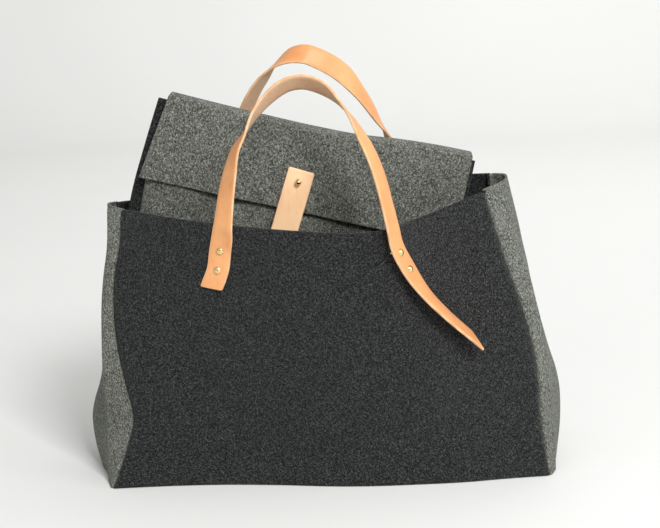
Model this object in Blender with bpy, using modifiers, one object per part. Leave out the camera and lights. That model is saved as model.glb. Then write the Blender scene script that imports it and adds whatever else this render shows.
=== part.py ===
"""Weekender bag: a wool-felt tote with leather strap handles and a lift-out fold-over pouch.

Metres, +Z up. +X is to the right as seen from the front, and the front panel faces -Y.
The origin is the middle of the base, on the surface that the bag stands on.
"""

import math

import bmesh
import bpy
import numpy as np
from mathutils import Matrix, Vector

FELT = 0.003                # wool felt thickness
GAP = 0.0003                # clearance between touching pieces
SEAM = 0.0014               # half the groove between two sewn panels
FOOT = 0.0008               # height of the walls' lower edges
STRAP_WIDTH = 0.0254
STRAP_THICKNESS = 0.0032
TAB_WIDTH = 0.0318
TAB_THICKNESS = 0.003
CAP_RADIUS = 0.0040
CAP_HEIGHT = 0.0024
SHANK_RADIUS = 0.0014
HOLE_RADIUS = 0.0019

HANDLE_HINGE_HEIGHT = 0.297
HANDLE_SPLIT = 0.0015       # gap each side of the hinge height, where the strap bends
# Each handle folds about the line through two points, x and y, at the hinge height. The lines
# lie outside the straps, so that a folded strap clears itself.
FRONT_HINGE = ((-0.1175, -0.1345), (0.0760, -0.1505))
BACK_HINGE = ((0.097, 0.1185), (-0.117, 0.1045))
FLUSH_LIFT = FELT / 2 + 2.5 * GAP + STRAP_THICKNESS / 2

POUCH_TILT = math.radians(12.8)
POUCH_CORNER = (0.0979, 0.004, 0.0040)   # lower right corner of the pouch's back
POUCH_WIDTH = 0.385
POUCH_HEIGHT = 0.363
POUCH_DEPTH = 0.0130        # from the back's middle to the front's middle
FLAP_STANDOFF = 0.0185      # from the back's middle to the hanging flap's middle
FLAP_LEFT, FLAP_RIGHT = -0.3695, -0.006
FLAP_TOP = POUCH_HEIGHT + 0.0095
FLAP_HEM_LEFT, FLAP_HEM_RIGHT = 0.268, 0.2615
FLAP_FLARE = 0.017          # how far the hem's left corner stands out from the fold
TOP_SAG = [(0, 0), (0.14, 0.0025), (0.3, 0.0048), (0.5, 0.0066), (0.62, 0.0062), (0.76, 0.002), (0.9, 0), (1, 0)]
TAB_TILT = math.radians(17.5)
TAB_RIVET = (-0.0316, 0.342)             # x and z of the stud that holds the tab
TAB_ABOVE, TAB_BELOW = 0.0140, 0.0860    # tab ends, from its rivet
TAB_BEND = 0.0120           # distance from the rivet down to the tab's bend
STUD_BELOW = 0.0720         # distance from the rivet down to the hidden closing stud

# Each corner seam, as (share of the seam's height, x, y).
FRONT_LEFT = [(0, -0.2565, -0.110), (0.14, -0.239, -0.094), (0.225, -0.2315, -0.0925), (0.375, -0.2387, -0.090),
              (0.49, -0.2453, -0.088), (0.73, -0.247, -0.0845), (0.91, -0.2363, -0.0815), (1, -0.2328, -0.080)]
FRONT_RIGHT = [(0, 0.255, -0.101), (0.185, 0.2457, -0.093), (0.41, 0.239, -0.089), (0.576, 0.2254, -0.0866),
               (0.746, 0.2062, -0.0838), (1, 0.1805, -0.080)]
BACK_LEFT = [(0, -0.256, 0.098), (0.25, -0.247, 0.096), (0.5, -0.253, 0.088), (0.75, -0.257, 0.066),
             (1, -0.257, 0.026)]
BACK_RIGHT = [(0, 0.255, 0.098), (0.3, 0.247, 0.094), (0.55, 0.238, 0.088), (0.8, 0.222, 0.082), (1, 0.204, 0.077)]

# Gusset folds by height share: front fold x, y, then the middle's x, then back fold x, y.
LEFT_FOLDS = [(0, -0.2630, -0.085, -0.2800, -0.2650, 0.078), (0.06, -0.2635, -0.080, -0.2855, -0.2670, 0.076),
              (0.12, -0.2640, -0.077, -0.2885, -0.2680, 0.074), (0.19, -0.2635, -0.073, -0.2892, -0.2680, 0.071),
              (0.25, -0.2635, -0.073, -0.2850, -0.2680, 0.070), (0.31, -0.2640, -0.075, -0.2785, -0.2680, 0.069),
              (0.37, -0.2645, -0.078, -0.2735, -0.2680, 0.068), (0.45, -0.2640, -0.079, -0.2700, -0.2685, 0.066),
              (0.56, -0.2630, -0.079, -0.2640, -0.2685, 0.0615), (0.67, -0.2610, -0.078, -0.2570, -0.2680, 0.056),
              (0.76, -0.2575, -0.077, -0.2510, -0.2665, 0.049), (0.85, -0.2525, -0.076, -0.2450, -0.2640, 0.040),
              (1, -0.2495, -0.074, -0.2380, -0.2620, 0.018)]
RIGHT_FOLDS = [(0, 0.2630, -0.080, 0.2730, 0.2650, 0.080), (0.1, 0.2620, -0.079, 0.2768, 0.2670, 0.074),
               (0.2, 0.2600, -0.078, 0.2775, 0.2670, 0.072), (0.26, 0.2585, -0.078, 0.2760, 0.2665, 0.0715),
               (0.32, 0.2570, -0.078, 0.2720, 0.2650, 0.071), (0.4, 0.2530, -0.080, 0.2635, 0.2580, 0.070),
               (0.53, 0.2460, -0.078, 0.2512, 0.2515, 0.070), (0.6, 0.2405, -0.077, 0.2435, 0.2500, 0.069),
               (0.67, 0.2350, -0.076, 0.2340, 0.2465, 0.067), (0.74, 0.2290, -0.0745, 0.2225, 0.2415, 0.0655),
               (0.8, 0.2210, -0.073, 0.2100, 0.2378, 0.064), (1, 0.2055, -0.070, 0.1870, 0.2225, 0.060)]

# Rim heights and outward bulges across a panel, as (share of its width, value).
FRONT_RIM = [(0, 0.325), (0.12, 0.319), (0.3, 0.3115), (0.5, 0.3045), (0.7, 0.3025), (0.82, 0.3120), (1, 0.3355)]
BACK_RIM = [(0, 0.314), (0.5, 0.320), (1, 0.331)]
RIM_BULGE = [(0, 0), (0.13, 0.024), (0.27, 0.041), (0.47, 0.055), (0.66, 0.057), (0.735, 0.051), (0.77, 0.041),
             (0.81, 0.029), (0.87, 0.017), (1, 0)]
BASE_BULGE = [(0, 0), (0.1, -0.003), (0.25, -0.0025), (0.4, 0.006), (0.5, 0.0145), (0.6, 0.018), (0.7, 0.017),
              (0.8, 0.014), (0.9, 0.006), (1, 0)]
# How far a gusset's rim lies above or below a straight one, from its front seam to its back one
LEFT_RIM_LIFT = [(0, 0), (0.12, 0.001), (0.35, -0.002), (0.6, -0.004), (0.88, 0.001), (0.94, 0.003), (1, 0)]
RIGHT_RIM_LIFT = [(0, 0), (0.12, 0), (0.35, -0.006), (0.55, -0.009), (0.75, -0.005), (0.88, 0.001), (0.94, 0.0035),
                  (1, 0)]
BACK_RIM_BULGE = 0.052
BACK_BASE_BULGE = 0.018

# Strap stations: x, y, z, facing. Facing is the grain side's turn, in degrees, from the front
# (0) through the outside of the arch (90) to the back (180). A y of None lies on the panel, and
# a facing of None is the panel's own.
FRONT_STRAP = [(-0.1319, None, 0.2377, None), (-0.1235, None, 0.2595, None), (-0.1198, None, 0.2814, None),
               (-0.1170, None, 0.2980, 22), (-0.1152, None, 0.3120, 35), (-0.1137, -0.1270, 0.3244, 40),
               (-0.1060, -0.120, 0.3697, 56), (-0.0993, -0.116, 0.3947, 73), (-0.089, -0.112, 0.4118, 88),
               (-0.0773, -0.107, 0.4321, 108), (-0.062, -0.100, 0.4493, 122), (-0.0381, -0.095, 0.4643, 131),
               (-0.0233, -0.093, 0.4661, 133), (-0.0055, -0.094, 0.4613, 129), (0.0142, -0.099, 0.4468, 105),
               (0.0261, -0.104, 0.4331, 92), (0.0427, -0.112, 0.4045, 71), (0.0536, -0.117, 0.3817, 65),
               (0.0616, -0.122, 0.3578, 62), (0.0686, -0.127, 0.3291, 61), (0.0740, None, 0.3048, 59),
               (0.0772, None, 0.2882, 57), (0.0902, None, 0.2598, 56), (0.1140, None, 0.2240, 71),
               (0.1317, None, 0.2044, 76), (0.1688, None, 0.1692, 81)]
BACK_STRAP = [(-0.1280, None, 0.2400, None), (-0.1230, None, 0.2590, None), (-0.1200, None, 0.2810, None),
              (-0.1170, None, 0.2980, None), (-0.1120, 0.0935, 0.3350, 158), (-0.1045, 0.084, 0.3850, 140),
              (-0.0944, 0.076, 0.4179, 127), (-0.0821, 0.071, 0.4419, 121), (-0.0714, 0.067, 0.4566, 113),
              (-0.0593, 0.062, 0.4707, 92), (-0.0496, 0.058, 0.4780, 76), (-0.0359, 0.054, 0.4842, 50),
              (-0.0194, 0.050, 0.4848, 30), (-0.0054, 0.051, 0.4793, 25), (0.0218, 0.057, 0.4620, 31),
              (0.0433, 0.065, 0.4371, 57), (0.0654, 0.077, 0.4024, 78), (0.0794, 0.089, 0.3776, 105),
              (0.0900, 0.1055, 0.3420, 156), (0.0960, None, 0.3000, None), (0.1000, None, 0.2810, None),
              (0.1040, None, 0.2590, None), (0.1120, None, 0.2100, None)]
FRONT_RIVETS = [(-0.1235, 0.2595), (-0.1198, 0.2814), (0.0895, 0.2593), (0.0800, 0.2804)]
BACK_RIVETS = [(-0.1230, 0.2590), (-0.1200, 0.2810), (0.1040, 0.2590), (0.1000, 0.2810)]

CHARCOAL = ((0.030, 0.031, 0.034), 0.95, 0.0)
GREY = ((0.155, 0.150, 0.142), 0.95, 0.0)
LEATHER = ((0.800, 0.400, 0.190), 0.50, 0.0)
BRASS = ((0.780, 0.570, 0.250), 0.25, 1.0)


# Shape helpers

def smooth(stations, t):
    """The values at t on the smooth curve through stations of (t, value, ...)."""
    keys = [s[0] for s in stations]
    values = np.array([s[1:] for s in stations], float)
    slopes = np.gradient(values, keys, axis=0)
    i = min(max(int(np.searchsorted(keys, t)) - 1, 0), len(keys) - 2)
    span = keys[i + 1] - keys[i]
    f = min(max((t - keys[i]) / span, 0.0), 1.0)
    start, end = values[i], values[i + 1]
    return (start * (1 + 2 * f) * (1 - f) ** 2 + end * f * f * (3 - 2 * f)
            + slopes[i] * span * f * (1 - f) ** 2 - slopes[i + 1] * span * f * f * (1 - f))


def mix(a, b, share):
    return a + (b - a) * share


def front_surface(u, v):
    """Middle of the front panel's felt: u from the left seam to the right one, v from floor to rim."""
    left, right = smooth(FRONT_LEFT, v), smooth(FRONT_RIGHT, v)
    x, y = mix(left, right, u)
    bulge = mix(smooth(BASE_BULGE, u)[0], smooth(RIM_BULGE, u)[0], v ** 1.2)
    return Vector((x, y - bulge, mix(FOOT, smooth(FRONT_RIM, u)[0], v)))


def back_surface(u, v):
    left, right = smooth(BACK_LEFT, v), smooth(BACK_RIGHT, v)
    x, y = mix(left, right, u)
    bulge = mix(BACK_BASE_BULGE, BACK_RIM_BULGE, v) * math.sin(math.pi * u)
    return Vector((x, y + bulge, mix(FOOT, smooth(BACK_RIM, u)[0], v)))


def gusset_surface(front_seam, back_seam, folds, rim_heights, rim_lift):
    """Surface of an end wall: s runs from the front seam (0) round both folds to the back seam (1)."""
    front_fold_at, back_fold_at = 0.12, 0.88

    def surface(s, v):
        front, back = smooth(front_seam, v), smooth(back_seam, v)
        fx, fy, middle, bx, by = smooth(folds, v)
        if s <= front_fold_at:
            x, y = mix(front, np.array((fx, fy)), s / front_fold_at)
        elif s >= back_fold_at:
            x, y = mix(np.array((bx, by)), back, (s - back_fold_at) / (1 - back_fold_at))
        else:
            t = (s - front_fold_at) / (back_fold_at - front_fold_at)
            near = fx if t < 0.5 else bx
            x = mix(near, middle, (1 - math.cos(2 * math.pi * t)) / 2)
            y = mix(fy, by, t)
        rim = mix(rim_heights[0], rim_heights[1], s) + smooth(rim_lift, s)[0]
        return Vector((x, y, mix(FOOT, rim, v)))

    return surface


left_surface = gusset_surface(FRONT_LEFT, BACK_LEFT, LEFT_FOLDS, (FRONT_RIM[0][1], BACK_RIM[0][1]),
                              LEFT_RIM_LIFT)
right_surface = gusset_surface(FRONT_RIGHT, BACK_RIGHT, RIGHT_FOLDS, (FRONT_RIM[-1][1], BACK_RIM[-1][1]),
                               RIGHT_RIM_LIFT)


def at_place(surface, x, z):
    """The surface's point and outward normal where it has this x and z."""
    u, v = 0.5, 0.8
    for _ in range(12):
        low, high, point = surface(0, v), surface(1, v), surface(u, v)
        u = min(max(u + (x - point.x) / (high.x - low.x), 0), 1)
        v = min(max(v + (z - point.z) / point.z * v, 0.001), 1.0)
    step = 0.01
    along = surface(min(u + step, 1), v) - surface(max(u - step, 0), v)
    up = surface(u, min(v + step, 1)) - surface(u, max(v - step, 0))
    normal = along.cross(up).normalized()
    point = surface(u, v)
    return point, normal if normal.y * point.y > 0 else -normal


# Object helpers

def material(name, look):
    made = bpy.data.materials.new(name)
    made.use_nodes = True
    shader = made.node_tree.nodes["Principled BSDF"]
    colour, roughness, metallic = look
    shader.inputs["Base Color"].default_value = (*colour, 1)
    shader.inputs["Roughness"].default_value = roughness
    shader.inputs["Metallic"].default_value = metallic
    made.diffuse_color = (*colour, 1)
    return made


def finish_mesh(name, mesh, look, collection=None):
    obj = bpy.data.objects.new(name, mesh)
    (collection or BAG).objects.link(obj)
    mesh.materials.append(material(name, look))
    return obj


def open_sheet(name, rows, thickness, look):
    """A sheet through rows of points, thickened equally to both sides."""
    bm = bmesh.new()
    grid = [[bm.verts.new(point) for point in row] for row in rows]
    for lower, upper in zip(grid, grid[1:]):
        for a, b, c, d in zip(lower, lower[1:], upper[1:], upper):
            bm.faces.new((a, b, c, d))
    mesh = bpy.data.meshes.new(name)
    bm.to_mesh(mesh)
    bm.free()
    obj = finish_mesh(name, mesh, look)
    solidify = obj.modifiers.new("Thickness", "SOLIDIFY")
    solidify.thickness = thickness
    solidify.offset = 0
    solidify.use_even_offset = True
    return obj


def surface_sheet(name, surface, columns, rows, look):
    shares = [i / rows for i in range(rows + 1)]
    return open_sheet(name, [[surface(u, v) for u in columns] for v in shares], FELT, look)


def shares_between(low, high, count):
    return [mix(low, high, i / count) for i in range(count + 1)]


def turned(name, profile, look, collection=None):
    """A turned solid: profile is (radius, height) from the top of its outer side down."""
    bm = bmesh.new()
    points = [bm.verts.new((r, 0, h)) for r, h in profile]
    for pair in zip(points, points[1:]):
        bm.edges.new(pair)
    mesh = bpy.data.meshes.new(name)
    bm.to_mesh(mesh)
    bm.free()
    obj = finish_mesh(name, mesh, look, collection)
    screw = obj.modifiers.new("Turn", "SCREW")
    screw.axis = "Z"
    screw.steps = screw.render_steps = 16
    screw.use_merge_vertices = True
    screw.merge_threshold = 0.00001
    return obj


def dome(radius, height, base, rings=4):
    """Profile of a dome on a flat base at this height, from its crown to its rim."""
    arc = [math.radians(90 * i / rings) for i in range(rings)]
    crown = [(radius * math.sin(a), base + height * (0.2 + 0.8 * math.cos(a))) for a in arc]
    return crown + [(radius, base + 0.2 * height)]


def hole_cutter(name, place, axis, reach):
    bm = bmesh.new()
    bmesh.ops.create_cone(bm, cap_ends=True, segments=12, radius1=HOLE_RADIUS, radius2=HOLE_RADIUS,
                          depth=2 * reach)
    mesh = bpy.data.meshes.new(name)
    bm.to_mesh(mesh)
    bm.free()
    obj = bpy.data.objects.new(name, mesh)
    CUTTERS.objects.link(obj)
    stand(obj, place, axis)
    obj.hide_render = True
    obj.display_type = "WIRE"
    return obj


def stand(obj, place, axis):
    """Puts the object at a place with its own Z along the axis."""
    obj.rotation_mode = "QUATERNION"
    obj.rotation_quaternion = Vector(axis).to_track_quat("Z", "Y")
    obj.location = place


def cut(obj, cutter):
    boolean = obj.modifiers.new(cutter.name, "BOOLEAN")
    boolean.operation = "DIFFERENCE"
    boolean.solver = "EXACT"
    boolean.object = cutter


def adopt(child, parent):
    """Parents the child without moving it."""
    bpy.context.view_layer.update()
    child.parent = parent
    child.matrix_parent_inverse = parent.matrix_world.inverted()


def joint_empty(name, place, axis=(0, 0, 1)):
    empty = bpy.data.objects.new(name, None)
    BAG.objects.link(empty)
    stand(empty, place, axis)
    return empty


# Tote body

def base_outline():
    """The floor line of the walls' inner faces, anticlockwise from above."""
    inset = FELT / 2 + 0.0021
    walls = [front_surface(u, 0) for u in shares_between(0, 1, 16)]
    walls += [right_surface(s, 0) for s in shares_between(0.12, 0.88, 8)]
    walls += [back_surface(u, 0) for u in shares_between(1, 0, 16)]
    walls += [left_surface(s, 0) for s in shares_between(0.88, 0.12, 8)]
    inner = []
    for before, here, after in zip(walls[-1:] + walls[:-1], walls, walls[1:] + walls[:1]):
        along = (after - before).normalized()
        inner.append((here.x - along.y * inset, here.y + along.x * inset))
    return inner


def tote_body():
    step = SEAM / 0.45
    panel_columns = shares_between(step, 1 - step, 26)
    front = surface_sheet("front_panel", front_surface, panel_columns, 12, CHARCOAL)
    back = surface_sheet("back_panel", back_surface, shares_between(step, 1 - step, 20), 10, CHARCOAL)
    edge = 0.12 * SEAM / 0.020
    gusset_columns = [edge, 0.06, *shares_between(0.12, 0.88, 10), 0.94, 1 - edge]
    surface_sheet("left_gusset", left_surface, gusset_columns, 12, GREY)
    surface_sheet("right_gusset", right_surface, gusset_columns, 12, GREY)
    curve = bpy.data.curves.new("base_panel", "CURVE")
    curve.dimensions = "2D"
    curve.fill_mode = "BOTH"
    curve.extrude = FELT / 2
    line = curve.splines.new("POLY")
    outline = base_outline()
    line.points.add(len(outline) - 1)
    for point, (x, y) in zip(line.points, outline):
        point.co = (x, y, 0, 1)
    line.use_cyclic_u = True
    base = bpy.data.objects.new("base_panel", curve)
    base.location.z = FELT / 2
    curve.materials.append(material("base_panel", CHARCOAL))
    BAG.objects.link(base)
    return front, back


# Handles

def strap_stations(stations, surface):
    """Stations with every value filled in. A turned strap stands off far enough to clear the panel."""
    filled = []
    for x, y, z, facing in stations:
        if y is None:
            point, normal = at_place(surface, x, min(z, 0.302))
            flush = math.degrees(math.atan2(math.copysign(normal.x, normal.x * x), -normal.y))
            facing = flush if facing is None else facing
            lift = FLUSH_LIFT + abs(math.sin(math.radians(facing - flush))) * STRAP_WIDTH / 2
            y = point.y + math.copysign(lift / abs(normal.y), normal.y)
        filled.append((x, y, z, facing))
    return filled


def strap_samples(stations, count):
    """Centres and grain-side normals along the strap, as a list of (centre, normal, tangent)."""
    places = [Vector(s[:3]) for s in stations]
    run = [0.0]
    for a, b in zip(places, places[1:]):
        run.append(run[-1] + (b - a).length)
    keyed = [(d, *s) for d, s in zip(run, stations)]
    samples = []
    for d in (run[-1] * i / count for i in range(count + 1)):
        x, y, z, facing = smooth(keyed, d)
        ahead, behind = smooth(keyed, d + 0.001), smooth(keyed, d - 0.001)
        tangent = Vector(ahead[:3] - behind[:3]).normalized()
        towards = Vector((0, -1, 0))
        towards = (towards - tangent * towards.dot(tangent)).normalized()
        outward = towards.cross(tangent).normalized()
        turn = math.radians(facing)
        normal = towards * math.cos(turn) + outward * math.sin(turn)
        samples.append((Vector((x, y, z)), normal, tangent))
    return samples


def strap_piece(name, samples):
    half = STRAP_WIDTH / 2
    rows = []
    for centre, normal, tangent in samples:
        across = tangent.cross(normal)
        rows.append([centre - across * half, centre, centre + across * half])
    return open_sheet(name, rows, STRAP_THICKNESS, LEATHER)


def handle(side, stations, surface, panel, rivets, hinge_line):
    """One handle: its two riveted ends, the standing loop between them and its four rivets."""
    samples = strap_samples(strap_stations(stations, surface), 168)
    heights = [centre.z for centre, _, _ in samples]
    above = [i for i, z in enumerate(heights) if z > HANDLE_HINGE_HEIGHT + HANDLE_SPLIT]
    below_left = [i for i in range(above[0]) if heights[i] < HANDLE_HINGE_HEIGHT - HANDLE_SPLIT]
    below_right = [i for i in range(above[-1], len(samples)) if heights[i] < HANDLE_HINGE_HEIGHT - HANDLE_SPLIT]
    left_end = strap_piece(side + "_handle_left_end", [samples[i] for i in below_left])
    right_end = strap_piece(side + "_handle_right_end", [samples[i] for i in below_right])
    loop = strap_piece(side + "_handle_loop", samples[above[0]:above[-1] + 1])
    start, end = (Vector((*point, HANDLE_HINGE_HEIGHT)) for point in hinge_line)
    hinge = joint_empty(side + "_handle_hinge", (start + end) / 2, end - start)
    adopt(loop, hinge)
    for number, (x, z) in enumerate(rivets, 1):
        near = min(samples, key=lambda s: (s[0].x - x) ** 2 + (s[0].z - z) ** 2)
        centre, normal, _ = near
        felt, _ = at_place(surface, centre.x, centre.z)
        lift = (centre - felt).length
        label = f"{side}_handle_rivet_{number}"
        strap_end = left_end if x < 0 else right_end
        for piece in (panel, strap_end):
            cut(piece, hole_cutter(f"{piece.name}_hole_{number}", centre, normal, lift + 0.006))
        outer = STRAP_THICKNESS / 2 + GAP
        cap_profile = [*dome(CAP_RADIUS, CAP_HEIGHT, outer), (CAP_RADIUS, outer), (0, outer)]
        stand(turned(label + "_cap", cap_profile, BRASS), centre, normal)
        slope = lift - FLUSH_LIFT
        head_face = -(lift + FELT / 2 + GAP + slope)
        head = [(CAP_RADIUS, head_face), (CAP_RADIUS, head_face - 0.0012), (0, head_face - 0.0016)]
        shank = [(0, STRAP_THICKNESS / 2), (SHANK_RADIUS, STRAP_THICKNESS / 2), (SHANK_RADIUS, head_face)]
        stand(turned(label + "_post", shank + head, BRASS), centre, normal)


# Pouch

def pouch_frame():
    """Empty at the pouch's lower right corner: its own x runs across the pouch and its z up it."""
    frame = bpy.data.objects.new("pouch_frame", None)
    BAG.objects.link(frame)
    frame.location = POUCH_CORNER
    frame.rotation_euler = (0, POUCH_TILT, 0)
    bpy.context.view_layer.update()
    return frame


def pouch_back(frame):
    """Flat felt back, its left side bowed outwards."""
    bow = [(0, -0.376), (0.25, -0.3865), (0.5, -0.3925), (0.7, -0.3925), (0.85, -0.3875), (1, -0.3815)]
    rows = []
    for share in shares_between(0, 1, 8):
        left = smooth(bow, share)[0]
        rows.append([(mix(left, 0, across), 0, share * (POUCH_HEIGHT - smooth(TOP_SAG, across)[0]))
                     for across in shares_between(0, 1, 12)])
    sheet = open_sheet("pouch_back", rows, FELT, CHARCOAL)
    sheet.parent = frame


def pouch_front(frame):
    """Grey front, rolled back on three sides to meet the back, open at the top."""
    left, right, low, high = -0.378, -0.011, 0.008, 0.290
    rise = POUCH_DEPTH - FELT - GAP
    roll = 0.018

    def depth(x, z):
        near = min(x - left, right - x, z - low, roll)
        return -(FELT + GAP) - rise * math.sin(math.acos(1 - near / roll)) if near < roll else -POUCH_DEPTH

    ends = [0, 0.0015, 0.005, 0.010, roll]
    columns = [left + e for e in ends] + shares_between(left + 0.05, right - 0.05, 5) + [right - e for e in ends[::-1]]
    levels = [low + e for e in ends] + shares_between(low + 0.05, high, 5)
    sheet = open_sheet("pouch_front", [[(x, depth(x, z), z) for x in columns] for z in levels], FELT, GREY)
    sheet.parent = frame
    return sheet


def pouch_flap(frame, hinge):
    """Grey flap: from the back's top edge, over in a half round, and down the front to its hem."""
    radius = FLAP_STANDOFF / 2
    crown = FLAP_TOP - radius * 0.55
    root = POUCH_HEIGHT + 0.0016
    rows = []
    profile = [(0, root)]
    profile += [(-radius + radius * math.cos(a), crown + radius * 0.55 * math.sin(a))
                for a in (math.radians(d) for d in (20, 45, 70, 90, 110, 135, 160, 180))]
    columns = shares_between(0, 1, 12)
    sags = [smooth(TOP_SAG, across)[0] for across in columns]
    for y, z in profile:
        rows.append([(mix(FLAP_LEFT, FLAP_RIGHT, across), y, z - sag) for across, sag in zip(columns, sags)])
    for share in shares_between(0, 1, 6)[1:]:
        row = []
        for across, sag in zip(columns, sags):
            hem = mix(FLAP_HEM_LEFT, FLAP_HEM_RIGHT, across)
            x = mix(FLAP_LEFT - FLAP_FLARE * share, FLAP_RIGHT, across)
            row.append((x, -FLAP_STANDOFF, mix(crown - sag, hem, share)))
        rows.append(row)
    sheet = open_sheet("pouch_flap", rows, FELT, GREY)
    sheet.parent = frame
    adopt_keeping_place(sheet, hinge)
    return sheet


def adopt_keeping_place(child, parent):
    """Moves the child from its present parent to another, leaving it where it is."""
    bpy.context.view_layer.update()
    world = child.matrix_world.copy()
    child.parent = parent
    child.matrix_parent_inverse = parent.matrix_world.inverted()
    child.matrix_world = world


def tab_pieces(front, flap, flap_hinge):
    """Leather closing tab, riveted to the flap, its lower end buttoned over a stud on the pouch."""
    flap_y = POUCH_CORNER[1] - FLAP_STANDOFF
    tab_y = flap_y - FELT / 2 - GAP - TAB_THICKNESS / 2
    frame = bpy.data.objects.new("tab_frame", None)
    BAG.objects.link(frame)
    frame.location = (TAB_RIVET[0], tab_y, TAB_RIVET[1])
    frame.rotation_euler = (0, TAB_TILT, 0)
    bpy.context.view_layer.update()
    half = TAB_WIDTH / 2
    bend_gap = 0.0016

    def strip(name, low, high):
        count = max(2, round((high - low) / 0.012))
        rows = [[(x, 0, z) for x in (-half, 0, half)] for z in shares_between(low, high, count)]
        sheet = open_sheet(name, rows, TAB_THICKNESS, LEATHER)
        sheet.parent = frame
        return sheet

    top = strip("closure_tab_top", -TAB_BEND + bend_gap, TAB_ABOVE)
    tongue = strip("closure_tab_tongue", -TAB_BELOW, -TAB_BEND - bend_gap)
    bpy.context.view_layer.update()
    forward = Vector((0, -1, 0))
    rivet = frame.matrix_world.translation.copy()
    for piece in (top, flap):
        cut(piece, hole_cutter(piece.name + "_hole", rivet, forward, 0.012))
    outer = TAB_THICKNESS / 2
    neck = [(0.0016, outer + 0.0022), (0.0016, outer + GAP + 0.0008), (0.0034, outer + GAP + 0.0008)]
    ball = [(0.0034 * math.sin(a), outer + 0.0048 + 0.0032 * math.cos(a))
            for a in (math.radians(d) for d in (0, 25, 50, 75, 100, 125, 150))]
    stud = turned("tab_stud", ball + neck + [(0.0034, outer + GAP), (0, outer + GAP)], BRASS)
    stand(stud, rivet, forward)
    inner = -(TAB_THICKNESS / 2 + FELT + 2 * GAP)
    screw = [(0, outer), (SHANK_RADIUS, outer), (SHANK_RADIUS, inner), (CAP_RADIUS, inner),
             (CAP_RADIUS, inner - 0.001), (0, inner - 0.001)]
    post = turned("tab_stud_post", screw, BRASS)
    stand(post, rivet, forward)
    for piece in (top, stud, post):
        adopt_keeping_place(piece, flap_hinge)

    # The hidden stud on the pouch's front. Its head is a little smaller than the tongue's buttonhole.
    down = frame.matrix_world.to_3x3() @ Vector((0, 0, -1))
    button = rivet + down * STUD_BELOW
    face = Vector((button.x, POUCH_CORNER[1] - POUCH_DEPTH, button.z))
    cut(front, hole_cutter("pouch_front_hole", face, forward, 0.008))
    wide = hole_cutter("tongue_buttonhole", face, forward, 0.030)
    wide.scale = (2.1, 2.1, 1)
    cut(tongue, wide)
    base = FELT / 2 + GAP
    reach = (face.y - tab_y) + TAB_THICKNESS / 2
    head = [(0.0032 * math.sin(a), reach + 0.0040 + 0.0032 * math.cos(a))
            for a in (math.radians(d) for d in (0, 25, 50, 75, 100, 125, 150))]
    column = [(0.0016, reach), (0.0016, base + 0.0012), (0.0045, base + 0.0012), (0.0045, base), (0, base)]
    stand(turned("closing_stud", head + column, BRASS), face, forward)
    back_face = -(FELT / 2 + GAP)
    pin = [(0, FELT / 2), (SHANK_RADIUS, FELT / 2), (SHANK_RADIUS, back_face), (0.0045, back_face),
           (0.0045, back_face - 0.0012), (0, back_face - 0.0012)]
    stand(turned("closing_stud_screw", pin, BRASS), face, forward)
    bend_line = frame.matrix_world.to_3x3() @ Vector((-1, 0, 0))
    bend = joint_empty("tab_bend", frame.matrix_world @ Vector((0, 0.0005, -TAB_BEND)), bend_line)
    adopt_keeping_place(tongue, bend)


def pouch():
    frame = pouch_frame()
    pouch_back(frame)
    front = pouch_front(frame)
    fold = frame.matrix_world @ Vector((-POUCH_WIDTH / 2, 0, POUCH_HEIGHT + 0.0016))
    hinge = joint_empty("flap_hinge", fold, frame.matrix_world.to_3x3() @ Vector((-1, 0, 0)))
    bpy.context.view_layer.update()
    flap = pouch_flap(frame, hinge)
    tab_pieces(front, flap, hinge)


for old in list(bpy.data.objects):
    bpy.data.objects.remove(old)
BAG = bpy.data.collections.new("weekender_bag")
CUTTERS = bpy.data.collections.new("cutters")
for group in (BAG, CUTTERS):
    bpy.context.scene.collection.children.link(group)

front_panel, back_panel = tote_body()
handle("front", FRONT_STRAP, front_surface, front_panel, FRONT_RIVETS, FRONT_HINGE)
handle("back", BACK_STRAP, back_surface, back_panel, BACK_RIVETS, BACK_HINGE)
pouch()
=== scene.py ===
"""Looks of the weekender bag: felt walls and pouch, strap handles, tab, rivets, floor and light."""

import math

import bmesh
import bpy
import numpy as np
from mathutils import Matrix, Vector


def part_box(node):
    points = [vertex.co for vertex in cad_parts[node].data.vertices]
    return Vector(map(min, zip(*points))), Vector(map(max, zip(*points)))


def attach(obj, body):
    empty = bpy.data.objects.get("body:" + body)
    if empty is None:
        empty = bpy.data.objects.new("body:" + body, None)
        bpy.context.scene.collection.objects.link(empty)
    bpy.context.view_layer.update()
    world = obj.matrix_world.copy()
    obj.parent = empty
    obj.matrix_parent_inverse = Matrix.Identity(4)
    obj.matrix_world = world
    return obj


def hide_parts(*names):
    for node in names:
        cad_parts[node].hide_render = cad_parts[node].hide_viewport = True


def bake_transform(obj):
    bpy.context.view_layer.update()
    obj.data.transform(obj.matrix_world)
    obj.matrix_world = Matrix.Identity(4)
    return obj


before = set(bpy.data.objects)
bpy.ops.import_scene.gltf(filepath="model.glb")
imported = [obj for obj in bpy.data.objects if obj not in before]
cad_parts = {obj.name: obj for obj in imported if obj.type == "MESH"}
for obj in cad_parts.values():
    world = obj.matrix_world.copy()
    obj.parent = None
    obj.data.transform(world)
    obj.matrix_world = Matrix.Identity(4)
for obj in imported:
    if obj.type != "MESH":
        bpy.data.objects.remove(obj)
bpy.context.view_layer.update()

# Sizes, in metres
FELT = 0.003
FOOT = 0.0008
STRAP_WIDTH = 0.0254
STRAP_THICKNESS = 0.0032
TAB_WIDTH = 0.0318
TAB_THICKNESS = 0.003
TAB_ABOVE, TAB_BELOW = 0.0140, 0.0860
TAB_TILT = math.radians(17.5)
TAB_RIVET = np.array((-0.0316, -0.0178, 0.342))
FLUSH_LIFT = FELT / 2 + 0.00075 + STRAP_THICKNESS / 2
BULGE_RISE = 1.2            # how late up a wall its foot's line gives way to its rim's

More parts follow.
